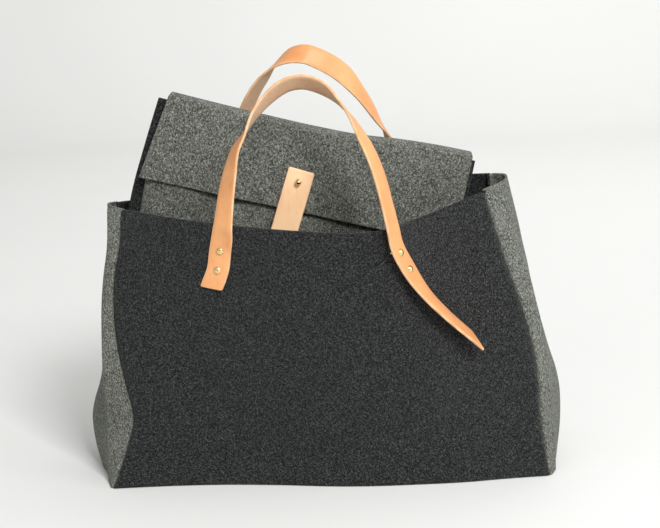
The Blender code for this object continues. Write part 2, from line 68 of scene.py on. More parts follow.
POUCH_TILT = math.radians(12.8)
POUCH_CORNER = np.array((0.0979, 0.004, 0.0040))
POUCH_HEIGHT = 0.363
POUCH_DEPTH = 0.0130
FLAP_STANDOFF = 0.0185
FLAP_LEFT, FLAP_RIGHT = -0.3695, -0.006
FLAP_TOP = POUCH_HEIGHT + 0.0095
FLAP_HEM_LEFT, FLAP_HEM_RIGHT = 0.268, 0.2615
FLAP_FLARE = 0.017

# Corner seams: share of height, x, y
FRONT_LEFT = [(0, -0.2565, -0.110), (0.14, -0.239, -0.094), (0.225, -0.2315, -0.0925),
              (0.375, -0.2387, -0.090), (0.49, -0.2453, -0.088), (0.73, -0.247, -0.0845),
              (0.91, -0.2363, -0.0815), (1, -0.2328, -0.080)]
FRONT_RIGHT = [(0, 0.255, -0.101), (0.185, 0.2457, -0.093), (0.41, 0.239, -0.089),
               (0.576, 0.2254, -0.0866), (0.746, 0.2062, -0.0838), (1, 0.1805, -0.080)]
BACK_LEFT = [(0, -0.256, 0.098), (0.25, -0.247, 0.096), (0.5, -0.253, 0.088), (0.75, -0.257, 0.066),
             (1, -0.257, 0.026)]
BACK_RIGHT = [(0, 0.255, 0.098), (0.3, 0.247, 0.094), (0.55, 0.238, 0.088), (0.8, 0.222, 0.082),
              (1, 0.204, 0.077)]

# Gusset folds: share of height, front fold x and y, middle x, back fold x and y
LEFT_FOLDS = [(0, -0.2630, -0.085, -0.2800, -0.2650, 0.078),
              (0.06, -0.2635, -0.080, -0.2855, -0.2670, 0.076),
              (0.12, -0.2640, -0.077, -0.2885, -0.2680, 0.074),
              (0.19, -0.2635, -0.073, -0.2892, -0.2680, 0.071),
              (0.25, -0.2635, -0.073, -0.2850, -0.2680, 0.070),
              (0.31, -0.2640, -0.075, -0.2785, -0.2680, 0.069),
              (0.37, -0.2645, -0.078, -0.2735, -0.2680, 0.068),
              (0.45, -0.2640, -0.079, -0.2700, -0.2685, 0.066),
              (0.56, -0.2630, -0.079, -0.2640, -0.2685, 0.0615),
              (0.67, -0.2610, -0.078, -0.2570, -0.2680, 0.056),
              (0.76, -0.2575, -0.077, -0.2510, -0.2665, 0.049),
              (0.85, -0.2525, -0.076, -0.2450, -0.2640, 0.040),
              (1, -0.2495, -0.074, -0.2380, -0.2620, 0.018)]
RIGHT_FOLDS = [(0, 0.2630, -0.080, 0.2730, 0.2650, 0.080),
               (0.1, 0.2620, -0.079, 0.2768, 0.2670, 0.074),
               (0.2, 0.2600, -0.078, 0.2775, 0.2670, 0.072),
               (0.26, 0.2585, -0.078, 0.2760, 0.2665, 0.0715),
               (0.32, 0.2570, -0.078, 0.2720, 0.2650, 0.071),
               (0.4, 0.2530, -0.080, 0.2635, 0.2580, 0.070),
               (0.53, 0.2460, -0.078, 0.2512, 0.2515, 0.070),
               (0.6, 0.2405, -0.077, 0.2435, 0.2500, 0.069),
               (0.67, 0.2350, -0.076, 0.2340, 0.2465, 0.067),
               (0.74, 0.2290, -0.0745, 0.2225, 0.2415, 0.0655),
               (0.8, 0.2210, -0.073, 0.2100, 0.2378, 0.064),
               (1, 0.2055, -0.070, 0.1870, 0.2225, 0.060)]
FRONT_RIM = [(0, 0.325), (0.12, 0.319), (0.3, 0.3115), (0.5, 0.3045), (0.7, 0.3025), (0.82, 0.3120),
             (1, 0.3355)]
BACK_RIM = [(0, 0.314), (0.5, 0.320), (1, 0.331)]
RIM_BULGE = [(0, 0), (0.13, 0.024), (0.27, 0.041), (0.47, 0.055), (0.66, 0.057), (0.735, 0.051),
             (0.77, 0.041), (0.81, 0.029), (0.87, 0.017), (1, 0)]
BASE_BULGE = [(0, 0), (0.1, -0.003), (0.25, -0.0025), (0.4, 0.006), (0.5, 0.0145), (0.6, 0.018),
              (0.7, 0.017), (0.8, 0.014), (0.9, 0.006), (1, 0)]
# How far a gusset's rim lies above or below a straight one, from its front seam to its back one
LEFT_RIM_LIFT = [(0, 0), (0.12, 0.001), (0.35, -0.002), (0.6, -0.004), (0.88, 0.001), (0.94, 0.003),
                 (1, 0)]
RIGHT_RIM_LIFT = [(0, 0), (0.12, 0), (0.35, -0.006), (0.55, -0.009), (0.75, -0.005), (0.88, 0.001),
                  (0.94, 0.0035), (1, 0)]
BACK_RIM_BULGE = 0.052
BACK_BASE_BULGE = 0.018

# Strap stations: x, y, z, facing. Facing turns the grain side from the front (0) through the
# outside of the arch (90) to the back (180). A y of None lies on the wall, at its own facing.
FRONT_STRAP = [(-0.1319, None, 0.2377, None), (-0.1235, None, 0.2595, None),
               (-0.1198, None, 0.2814, None), (-0.1170, None, 0.2980, 22), (-0.1152, None, 0.3120, 35),
               (-0.1137, -0.1270, 0.3244, 40), (-0.1060, -0.120, 0.3697, 56),
               (-0.0993, -0.116, 0.3947, 73), (-0.089, -0.112, 0.4118, 88),
               (-0.0773, -0.107, 0.4321, 108), (-0.062, -0.100, 0.4493, 122),
               (-0.0381, -0.095, 0.4643, 131), (-0.0233, -0.093, 0.4661, 133),
               (-0.0055, -0.094, 0.4613, 129), (0.0142, -0.099, 0.4468, 105),
               (0.0261, -0.104, 0.4331, 92), (0.0427, -0.112, 0.4045, 71), (0.0536, -0.117, 0.3817, 65),
               (0.0616, -0.122, 0.3578, 62), (0.0686, -0.127, 0.3291, 61), (0.0740, None, 0.3048, 59),
               (0.0772, None, 0.2882, 57), (0.0902, None, 0.2598, 56), (0.1140, None, 0.2240, 71),
               (0.1317, None, 0.2044, 76), (0.1688, None, 0.1692, 81)]
BACK_STRAP = [(-0.1280, None, 0.2400, None), (-0.1230, None, 0.2590, None),
              (-0.1200, None, 0.2810, None), (-0.1170, None, 0.2980, None),
              (-0.1120, 0.0935, 0.3350, 158), (-0.1045, 0.084, 0.3850, 140),
              (-0.0944, 0.076, 0.4179, 127), (-0.0821, 0.071, 0.4419, 121),
              (-0.0714, 0.067, 0.4566, 113), (-0.0593, 0.062, 0.4707, 92), (-0.0496, 0.058, 0.4780, 76),
              (-0.0359, 0.054, 0.4842, 50), (-0.0194, 0.050, 0.4848, 30), (-0.0054, 0.051, 0.4793, 25),
              (0.0218, 0.057, 0.4620, 31), (0.0433, 0.065, 0.4371, 57), (0.0654, 0.077, 0.4024, 78),
              (0.0794, 0.089, 0.3776, 105), (0.0900, 0.1055, 0.3420, 156), (0.0960, None, 0.3000, None),
              (0.1000, None, 0.2810, None), (0.1040, None, 0.2590, None), (0.1120, None, 0.2100, None)]


# Curves and directions. Points are numpy arrays whose last axis is x, y, z.

def smooth(stations, t):
    """The smooth curve through stations of (t, value, ...), at each of the given t."""
    keys = np.array([s[0] for s in stations], float)
    values = np.array([s[1:] for s in stations], float)
    slopes = np.gradient(values, keys, axis=0)
    t = np.asarray(t, float)
    i = np.clip(np.searchsorted(keys, t) - 1, 0, len(keys) - 2)
    span = (keys[i + 1] - keys[i])[..., None]
    f = np.clip((t[..., None] - keys[i][..., None]) / span, 0, 1)
    return (values[i] * (1 + 2 * f) * (1 - f) ** 2 + values[i + 1] * f * f * (3 - 2 * f)
            + slopes[i] * span * f * (1 - f) ** 2 - slopes[i + 1] * span * f * f * (1 - f))


def unit(v):
    return v / np.linalg.norm(v, axis=-1, keepdims=True)


def dot(a, b):
    return (a * b).sum(-1, keepdims=True)


def mix(a, b, share):
    return a + (b - a) * share


def hill(x, centre, width):
    """A soft bump of height 1."""
    return np.exp(-((x - centre) / width) ** 2)


def bend(start, corner, stop, steps):
    """Points on the rounded corner from start to stop, without its last one."""
    f = np.arange(steps) / steps
    f = f.reshape((-1,) + (1,) * np.ndim(start))
    return list(start * (1 - f) ** 2 + corner * 2 * f * (1 - f) + stop * f * f)


def line(start, stop, steps):
    return [mix(start, stop, i / steps) for i in range(steps)]


# Wall surfaces, the middle of the felt

def front_wall(u, v):
    left, right = smooth(FRONT_LEFT, v), smooth(FRONT_RIGHT, v)
    foot, rim = smooth(BASE_BULGE, u)[..., 0], smooth(RIM_BULGE, u)[..., 0]
    xy = mix(left, right, u[..., None])
    bulge = mix(foot, rim, v ** BULGE_RISE)
    z = mix(FOOT, smooth(FRONT_RIM, u)[..., 0], v)
    return np.stack([xy[..., 0], xy[..., 1] - bulge, z], -1)


def back_wall(u, v):
    left, right = smooth(BACK_LEFT, v), smooth(BACK_RIGHT, v)
    xy = mix(left, right, u[..., None])
    bulge = mix(BACK_BASE_BULGE, BACK_RIM_BULGE, v) * np.sin(np.pi * u)
    z = mix(FOOT, smooth(BACK_RIM, u)[..., 0], v)
    return np.stack([xy[..., 0], xy[..., 1] + bulge, z], -1)


SEARCH_STEPS = 15
SEARCH_REACH = 0.01         # the share of a wall over which its slope is taken


def on_wall(wall, x, z):
    """The wall's point and outward normal where it has this x and z."""
    u, v = np.array(0.5), np.array(0.8)
    for _ in range(SEARCH_STEPS):
        low, high, point = wall(np.array(0.0), v), wall(np.array(1.0), v), wall(u, v)
        u = np.clip(u + (x - point[0]) / (high[0] - low[0]), 0, 1)
        v = np.clip(v + (z - point[2]) / point[2] * v, 0.001, 1)
    along = wall(np.minimum(u + SEARCH_REACH, 1), v) - wall(np.maximum(u - SEARCH_REACH, 0), v)
    up = wall(u, np.minimum(v + SEARCH_REACH, 1)) - wall(u, v - SEARCH_REACH)
    point, normal = wall(u, v), unit(np.cross(along, up))
    return point, normal * np.sign(normal[1] * point[1])


# Meshes

def grid_mesh(name, rows, closed_across=False):
    """A mesh of quads through a grid of points, rows by columns."""
    rows = np.asarray(rows, float)
    count, width = rows.shape[:2]
    index = np.arange(count * width).reshape(count, width)
    right = np.roll(index, -1, 1)
    last = width if closed_across else width - 1
    quads = np.stack([index[:-1, :last], right[:-1, :last], right[1:, :last], index[1:, :last]], -1)
    mesh = bpy.data.meshes.new(name)
    mesh.from_pydata(rows.reshape(-1, 3).tolist(), [], quads.reshape(-1, 4).tolist())
    return mesh


def place(name, mesh):
    obj = bpy.data.objects.new(name, mesh)
    bpy.context.scene.collection.objects.link(obj)
    return obj


def baked(obj):
    """Applies the object's modifiers to its mesh."""
    graph = bpy.context.evaluated_depsgraph_get()
    mesh = bpy.data.meshes.new_from_object(obj.evaluated_get(graph))
    obj.modifiers.clear()
    old = obj.data
    obj.data = mesh
    bpy.data.meshes.remove(old)
    mesh.shade_smooth()
    return obj


def thickened(obj):
    """Gives a sheet the felt's thickness, half on each side."""
    solid = obj.modifiers.new("Thickness", "SOLIDIFY")
    solid.thickness = FELT
    solid.offset = 0


EDGE_ROUND = 0.0009
EDGE_ANGLE = math.radians(60)


def felt_sheet(name, rows):
    """A sheet of felt through a grid of points, with softly rounded cut edges."""
    obj = place(name, grid_mesh(name, rows))
    thickened(obj)
    bevel = obj.modifiers.new("Cut edges", "BEVEL")
    bevel.width = EDGE_ROUND
    bevel.segments = 2
    bevel.angle_limit = EDGE_ANGLE
    return baked(obj)


# Shader maths

class Number:
    """A shader socket that can be used in sums."""

    def __init__(self, finish, socket):
        self.finish, self.socket = finish, socket

    def _sum(self, operation, first, second):
        return self.finish.node("ShaderNodeMath", {"operation": operation}, {0: first, 1: second})

    def __add__(self, other):
        return self._sum("ADD", self, other)

    def __mul__(self, other):
        return self._sum("MULTIPLY", self, other)

    __radd__ = __add__
    __rmul__ = __mul__


class Finish:
    """A material under construction."""

    def __init__(self, name, **sockets):
        self.material = bpy.data.materials.new(name)
        self.material.use_nodes = True
        self.tree = self.material.node_tree
        self.shader = self.tree.nodes["Principled BSDF"]
        for socket, value in sockets.items():
            self.shader.inputs[socket.replace("_", " ")].default_value = value

    def node(self, kind, settings=None, values=None, output=0):
        made = self.tree.nodes.new(kind)
        for key, value in (settings or {}).items():
            setattr(made, key, value)
        for key, value in (values or {}).items():
            if isinstance(value, Number):
                self.tree.links.new(value.socket, made.inputs[key])
            else:
                made.inputs[key].default_value = value
        return Number(self, made.outputs[output])

    def place(self):
        return self.node("ShaderNodeTexCoord", output="Object")

    def stretched(self, scale, turn=(0, 0, 0)):
        values = {"Vector": self.place(), "Scale": scale, "Rotation": turn}
        return self.node("ShaderNodeMapping", None, values)

    def noise(self, scale, detail=2.0, where=None, rough=0.5, warp=0.0):
        values = {"Vector": where or self.place(), "Scale": scale, "Detail": detail, "Roughness": rough,
                  "Distortion": warp}
        return self.node("ShaderNodeTexNoise", None, values)

    def spread(self, value, low, high, start=0.0, stop=1.0):
        """The value from low..high brought to start..stop, and held there."""
        values = {"Value": value, "From Min": low, "From Max": high, "To Min": start, "To Max": stop}
        return self.node("ShaderNodeMapRange", None, values)

    def mixed(self, share, first, second):
        return self.node("ShaderNodeMix", {"data_type": "RGBA"}, {0: share, 6: first, 7: second}, output=2)

    def use(self, socket, value):
        self.tree.links.new(value.socket, self.shader.inputs[socket])

    def bump(self, height, distance, strength=1.0):
        values = {"Height": height, "Distance": distance, "Strength": strength}
        self.use("Normal", self.node("ShaderNodeBump", None, values))


def rgb(red, green, blue):
    """A display colour, 0 to 255, as a linear one."""
    return (*[((c / 255 + 0.055) / 1.055) ** 2.4 for c in (red, green, blue)], 1)


def felt_finish(name, deep, middle, pale, dark_hair):
    """Dense wool felt: soft blotches, mottled tufts, and short pale and dark hairs lying every way."""
    f = Finish(name, Roughness=0.95, Sheen_Weight=0.09, Sheen_Roughness=0.6, Specular_IOR_Level=0.12)
    cloud = f.noise(14, 3)
    blotch = f.noise(95, 2)
    tuft = f.noise(330, 3, rough=0.65, warp=0.3)
    fleck = f.noise(800, 3, rough=0.65)
    hair_a = f.noise(1, 2.5, f.stretched((1700, 300, 560), (0.3, 0.5, 0.9)), warp=0.35)
    hair_b = f.noise(1, 2.5, f.stretched((340, 560, 1700), (0.7, 0.2, 0.4)), warp=0.35)
    hair_c = f.noise(1, 2.5, f.stretched((540, 1650, 380), (0.1, 0.9, 0.2)), warp=0.35)
    wool = tuft * 0.38 + fleck * 0.26 + blotch * 0.22 + cloud * 0.14
    shade = f.mixed(f.spread(wool, 0.43, 0.57), deep, middle)
    pale_hairs = f.spread(hair_a, 0.53, 0.68) + f.spread(hair_b, 0.54, 0.69) + f.spread(hair_c, 0.55, 0.70)
    shade = f.mixed(f.spread(pale_hairs, 0, 1.2, 0, 0.95), shade, pale)
    dark_hairs = f.spread(hair_a, 0.46, 0.32) + f.spread(hair_c, 0.46, 0.32)
    shade = f.mixed(f.spread(dark_hairs, 0, 1.1, 0, 0.85), shade, dark_hair)
    f.use("Base Color", shade)
    f.bump(tuft * 0.5 + fleck * 0.5 + pale_hairs * 0.3, 0.0013, 0.9)
    return f.material


def grain_finish(name, deep, pale, pore_colour):
    """Natural vegetable-tanned leather, the smooth outer side."""
    f = Finish(name, Coat_Weight=0.12, Coat_Roughness=0.35, Specular_IOR_Level=0.4)
    cloud = f.noise(22, 4, rough=0.6)
    streak = f.noise(1, 3, f.stretched((260, 260, 60)))
    pore = f.noise(1500, 2)
    base = f.mixed(f.spread(cloud, 0.3, 0.7), deep, pale)
    base = f.mixed(f.spread(streak, 0.55, 0.8, 0.0, 0.3), base, pore_colour)
    base = f.mixed(f.spread(pore, 0.62, 0.75, 0.0, 0.3), base, pore_colour)
    f.use("Base Color", base)
    f.use("Roughness", f.spread(cloud + pore * 0.4, 0.4, 1.0, 0.42, 0.58))
    f.bump(pore * 0.5 + streak * 0.5, 0.0003, 0.5)
    return f.material


def flesh_finish():
    """The leather's brushed inner side."""
    f = Finish("leather flesh", Roughness=0.9, Sheen_Weight=0.15, Specular_IOR_Level=0.2)
    cloud = f.noise(30, 3)
    fibre = f.noise(1, 2, f.stretched((1100, 1100, 380)))
    speck = f.noise(900, 2)
    base = f.mixed(f.spread(cloud, 0.3, 0.7), rgb(192, 150, 116), rgb(212, 174, 140))
    base = f.mixed(f.spread(fibre, 0.52, 0.72, 0.0, 0.5), base, rgb(222, 190, 160))
    base = f.mixed(f.spread(speck, 0.60, 0.72, 0.0, 0.6), base, rgb(142, 100, 72))
    f.use("Base Color", base)
    f.bump(fibre * 0.6 + speck * 0.6, 0.0006, 0.7)
    return f.material


def cut_edge_finish():
    """Raw cut edge of the leather: pale, with darker layers."""
    f = Finish("leather cut edge", Roughness=0.85, Specular_IOR_Level=0.2)
    patch = f.noise(90, 3)
    speck = f.noise(1400, 2)
    base = f.mixed(f.spread(patch, 0.35, 0.65), rgb(208, 160, 118), rgb(232, 190, 150))
    base = f.mixed(f.spread(speck, 0.55, 0.75, 0.0, 0.5), base, rgb(150, 100, 66))
    f.use("Base Color", base)
    f.bump(speck, 0.0004, 0.6)
    return f.material


def brass_finish():
    f = Finish("brass", Metallic=1.0, Specular_IOR_Level=0.5)
    haze = f.noise(260, 3)
    scratch = f.noise(1, 2, f.stretched((3000, 300, 3000), (0.4, 0.3, 0.8)))
    f.use("Base Color", f.mixed(f.spread(haze, 0.35, 0.7), rgb(246, 224, 172), rgb(226, 196, 132)))
    f.use("Roughness", f.spread(haze + scratch * 0.3, 0.4, 0.9, 0.14, 0.32))
    return f.material


def thread_finish():
    f = Finish("thread", Roughness=0.7, Sheen_Weight=0.2)
    ply = f.noise(1, 1, f.stretched((1800, 1800, 1800), (0.5, 0.3, 0.8)))
    f.use("Base Color", f.mixed(f.spread(ply, 0.4, 0.6), rgb(34, 35, 38), rgb(62, 63, 66)))
    return f.material


charcoal_felt = felt_finish("charcoal felt", rgb(3, 3, 3), rgb(13, 14, 14), rgb(80, 82, 83), rgb(2, 2, 2))
grey_felt = felt_finish("grey felt", rgb(52, 54, 49), rgb(102, 105, 97), rgb(170, 172, 162),
                        rgb(32, 34, 31))
leather_grain = grain_finish("leather grain", rgb(214, 144, 90), rgb(228, 166, 112), rgb(186, 116, 68))
# The tab's leather is a paler copy of the straps' leather: its extra lightness is painted light, standing
# in for the brighter light that falls on the tab.
painted_light_tab_grain = grain_finish("tab leather grain with painted light", rgb(246, 196, 148), rgb(252, 214, 172), rgb(222, 162, 114))
leather_flesh = flesh_finish()
leather_edge = cut_edge_finish()
brass = brass_finish()
thread = thread_finish()


def finished(obj, body, slot_name, finish, *nodes):
    """Gives a piece its material, its body and the CAD nodes that it stands for; slot_name is not used."""
    if finish is not None:
        obj.data.materials.clear()
        obj.data.materials.append(finish)
    if body is not None:
        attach(obj, body)
    if nodes:
        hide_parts(*nodes)
    return obj


# Walls. Neighbouring sheets turn inwards side by side at each seam.

TURN = 0.0055               # where a sheet starts to turn in, from the seam
ALLOWANCE = 0.011
SEAM_GAP = 0.0001           # between a sheet and the middle of its seam
PAST_TURN = TURN + 0.001    # where a wall's own columns start, from the seam


def turned_in(seam, into, other_into, steps=6):
    """Columns that carry a sheet from its face round the seam and in beside its neighbour."""
    inward = unit(into + other_into)
    side = unit(into - inward * dot(into, inward))
    half = FELT / 2 + SEAM_GAP
    corner = seam + into * (half / dot(into, side))
    stop = seam + inward * TURN * allowance_share + side * half
    end = seam + inward * ALLOWANCE * allowance_share + side * half
    return bend(seam + into * TURN, corner, stop, steps) + line(stop, end, 2) + [end]


heights = np.concatenate([[0, 0.004, 0.01], np.linspace(0.018, 0.06, 6)[:-1], np.linspace(0.06, 1, 84)])
# The seam allowances shorten towards the floor and the rim.
allowance_share = np.interp(heights, (0, 0.03, 0.955, 1), (0.3, 1, 1, 0.5))[:, None]


FOLDS_AT = (0.12, 0.88)     # the folds' shares of the way round
FRONT_SOFT = 0.0036         # length of felt that a fold takes up beside its crest
BACK_SOFT = 0.0090
BELLY_FROM, BELLY_TO = 0.035, 0.90


class Gusset:
    """An end wall: a strip from the front seam to a fold, a belly or valley, and a strip at the back."""

    def __init__(self, front_seam, back_seam, folds, rims, rim_lift):
        front, back, fold = smooth(front_seam, heights), smooth(back_seam, heights), smooth(folds, heights)
        self.rims, self.rim_lift, self.middle = rims, rim_lift, fold[:, 2]
        self.front, self.back = self.raised(front, 0.0), self.raised(back, 1.0)
        self.fold = self.raised(fold[:, 0:2], FOLDS_AT[0])
        self.back_fold = self.raised(fold[:, 3:5], FOLDS_AT[1])
        self.front_into = unit(self.fold - self.front)
        self.back_into = unit(self.back_fold - self.back)

    def raised(self, xy, share):
        """Points at every height, from their x and y and their share of the way round the wall."""
        rim = mix(*self.rims, share) + smooth(self.rim_lift, np.array(share))[0]
        return np.concatenate([xy, mix(FOOT, rim, heights)[:, None]], 1)

    def between(self, t):
        """The belly or valley, from the front fold (0) to the back one (1)."""
        near = (self.fold if t < 0.5 else self.back_fold)[:, 0]
        x = mix(near, self.middle, (1 - math.cos(2 * math.pi * t)) / 2)
        y = mix(self.fold[:, 1], self.back_fold[:, 1], t)
        return self.raised(np.stack([x, y], 1), mix(*FOLDS_AT, t))

    def columns(self, front_into, back_into):
        """Columns of points round the wall, seam allowances included."""
        strip, back_strip = self.front_into, self.back_into
        near_fold, near_back_fold = self.fold - strip * FRONT_SOFT, self.back_fold - back_strip * BACK_SOFT
        columns = turned_in(self.front, strip, front_into)[::-1]
        columns += line(self.front + strip * PAST_TURN, near_fold, 5)
        columns += bend(near_fold, self.fold, self.between(BELLY_FROM), 6)
        columns += [self.between(t) for t in np.linspace(BELLY_FROM, BELLY_TO, 44)[:-1]]
        columns += bend(self.between(BELLY_TO), self.back_fold, near_back_fold, 8)
        columns += line(near_back_fold, self.back + back_strip * PAST_TURN, 4)
        return columns + turned_in(self.back, back_strip, back_into)


left_gusset = Gusset(FRONT_LEFT, BACK_LEFT, LEFT_FOLDS, (FRONT_RIM[0][1], BACK_RIM[0][1]), LEFT_RIM_LIFT)
right_gusset = Gusset(FRONT_RIGHT, BACK_RIGHT, RIGHT_FOLDS, (FRONT_RIM[-1][1], BACK_RIM[-1][1]),
                      RIGHT_RIM_LIFT)


WALL_WIDTH = 0.49
BESIDE_SEAM = 0.012         # the share of the width over which a wall's direction at its seam is taken


def wall_columns(wall, left_into, right_into, count):
    """Columns of points across a wall, and its directions away from its two seams."""
    first = PAST_TURN / WALL_WIDTH

    def column(u):
        return wall(np.full_like(heights, u), heights)

    left, right = column(0.0), column(1.0)
    left_own = unit(column(BESIDE_SEAM) - left)
    right_own = unit(column(1 - BESIDE_SEAM) - right)
    columns = turned_in(left, left_own, left_into)[::-1]
    columns += [column(u) for u in np.linspace(first, 1 - first, count)]
    columns += turned_in(right, right_own, right_into)
    return columns, left_own, right_own


front_columns, front_left_own, front_right_own = wall_columns(
    front_wall, left_gusset.front_into, right_gusset.front_into, 130)
back_columns, back_left_own, back_right_own = wall_columns(
    back_wall, left_gusset.back_into, right_gusset.back_into, 110)
for name, columns, finish, slot_name in (
        ("front_panel", front_columns, charcoal_felt, "charcoal_felt"),
        ("back_panel", back_columns, charcoal_felt, "charcoal_felt"),
        ("left_gusset", left_gusset.columns(front_left_own, back_left_own), grey_felt, "grey_felt"),
        ("right_gusset", right_gusset.columns(front_right_own, back_right_own), grey_felt, "grey_felt")):
    finished(felt_sheet("felt_" + name, np.stack(columns, 1)), "tote", slot_name, finish, name)


BASE_GAP = 0.0006
BASE_RINGS = (0.25, 0.5, 0.75, 0.9, 0.97, 1.0)


def base_sheet():
    """The bottom, a flat sheet whose edge is sewn between the walls' lower edges."""
    def foot_of(gusset):
        points = [gusset.front, *[gusset.between(t) for t in np.linspace(0.0, 1.0, 30)], gusset.back]
        return np.stack([p[0] for p in points])

    shares = np.linspace(0, 1, 90)
    outline = np.concatenate([front_wall(shares, 0 * shares)[:-1], foot_of(right_gusset)[:-1],
                              back_wall(shares[::-1], 0 * shares)[:-1], foot_of(left_gusset)[::-1][:-1]])
    along = unit(np.roll(outline, -1, 0) - np.roll(outline, 1, 0))
    inward = np.stack([-along[:, 1], along[:, 0], 0 * along[:, 0]], 1)
    edge = outline + inward * (FELT / 2 + BASE_GAP)
    edge[:, 2] = FELT / 2
    centre = np.array((0, 0, FELT / 2))
    rings = [mix(centre, edge, share) for share in BASE_RINGS]
    count = len(edge)
    faces = [(0, 1 + i, 1 + (i + 1) % count) for i in range(count)]
    for ring in range(len(rings) - 1):
        a, b = 1 + ring * count, 1 + (ring + 1) * count
        faces += [(a + i, b + i, b + (i + 1) % count, a + (i + 1) % count) for i in range(count)]
    mesh = bpy.data.meshes.new("felt_base")
    mesh.from_pydata([tuple(centre)] + [tuple(p) for ring in rings for p in ring], [], faces)
    obj = place("felt_base", mesh)
    thickened(obj)
    return baked(obj)


finished(base_sheet(), "tote", "charcoal_felt", charcoal_felt, "base_panel")


# Pouch

def in_pouch(across, out, up):
    """A point from its place in the pouch: across from the right, out towards the front, and up."""
    c, s = math.cos(POUCH_TILT), math.sin(POUCH_TILT)
    across, out, up = np.broadcast_arrays(across, out, up)
    offset = np.stack([across * c + up * s, -out, -across * s + up * c], -1)
    return POUCH_CORNER + offset


TOP_SAG = [(0, 0), (0.14, 0.0025), (0.3, 0.0048), (0.5, 0.0066), (0.62, 0.0062), (0.76, 0.002),
           (0.9, 0), (1, 0)]


LEFT_BOW = [(0, -0.376), (0.25, -0.3865), (0.5, -0.3925), (0.7, -0.3925), (0.85, -0.3875), (1, -0.3815)]


def pouch_back():
    """The back sheet, whose left edge bows out and whose top edge sags."""
    share = np.linspace(0, 1, 50)[:, None]
    left = smooth(LEFT_BOW, share[:, 0])
    shares = np.linspace(0, 1, 60)
    across = mix(left, 0.0, shares[None, :])
    rows = in_pouch(across, 0.0, share * (POUCH_HEIGHT - smooth(TOP_SAG, shares)[None, :, 0]))
    sheet = felt_sheet("felt_pouch_back", rows)
    finished(sheet, "pouch", "charcoal_felt", charcoal_felt, "pouch_back")


FRONT_ROLL = 0.018          # width of the rounded margin where the front sheet comes down to the back one
FRONT_FLAT = 0.026
SHEET_GAP = 0.0003


def pouch_front():
    """The front sheet, whose sides and bottom roll down to the back one."""
    left, right, low, high = -0.378, -0.011, 0.008, 0.290
    rise = POUCH_DEPTH - FELT - SHEET_GAP
    ease = FRONT_ROLL * (1 - np.cos(np.linspace(0, np.pi / 2, 8)))
    middle = np.linspace(left + FRONT_FLAT, right - FRONT_FLAT, 50)
    columns = np.concatenate([left + ease, middle, right - ease[::-1]])
    levels = np.concatenate([low + ease, np.linspace(low + FRONT_FLAT, high, 40)])
    across, up = np.meshgrid(columns, levels)
    near = np.clip(np.minimum(np.minimum(across - left, right - across), up - low) / FRONT_ROLL, 0, 1)
    out = FELT + SHEET_GAP + rise * np.sqrt(1 - (1 - near) ** 2)
    rows = in_pouch(across, out, up)
    finished(felt_sheet("felt_pouch_front", rows), "pouch", "grey_felt", grey_felt, "pouch_front")


CROWN_SHARE = 0.55          # the fold's height over its radius
HEM_LIFTS = ((0.0036, 0.28, 0.07), (0.0036, 0.68, 0.09), (-0.0012, 0.1, 0.08))


def pouch_flap():
    """Flap from the back's top edge, over in a soft fold, and down the front to its hem."""
    radius = FLAP_STANDOFF / 2
    crown = FLAP_TOP - radius * CROWN_SHARE
    angles = np.radians(np.linspace(0, 180, 22))[:, None]
    share = np.linspace(0, 1, 90)[None, :]
    sag = smooth(TOP_SAG, share)[..., 0]
    ease = np.sin(angles) ** 2
    fold_across = mix(FLAP_LEFT + 0.003 * ease, FLAP_RIGHT - 0.002 * ease, share)
    fold = in_pouch(fold_across, radius - radius * np.cos(angles),
                    crown + radius * CROWN_SHARE * np.sin(angles) - sag)
    fall = np.linspace(0, 1, 46)[1:, None]
    hem = mix(FLAP_HEM_LEFT, FLAP_HEM_RIGHT, share)
    across = mix(FLAP_LEFT - FLAP_FLARE * fall, FLAP_RIGHT, share)
    lift = sum(height * hill(share, centre, width) for height, centre, width in HEM_LIFTS)
    stand = FLAP_STANDOFF + lift * fall ** 3
    hang = in_pouch(across, stand, mix(crown - sag, hem, fall))
    root = in_pouch(fold_across[:1], 0.0, POUCH_HEIGHT + 0.0016 - sag)
    flap = felt_sheet("felt_flap", np.concatenate([root, fold, hang]))
    finished(flap, "flap", "grey_felt", grey_felt, "pouch_flap")


pouch_back()
pouch_front()
pouch_flap()


# Leather strips

EDGE_SOFT = 0.0007          # how far in the grain and flesh sides stop from a cut edge
CROWN = 0.00025             # how much lower the grain side is at its edges
START_SLANT, END_SLANT = 0.012, 0.020       # how far a slanted cut reaches along the strip


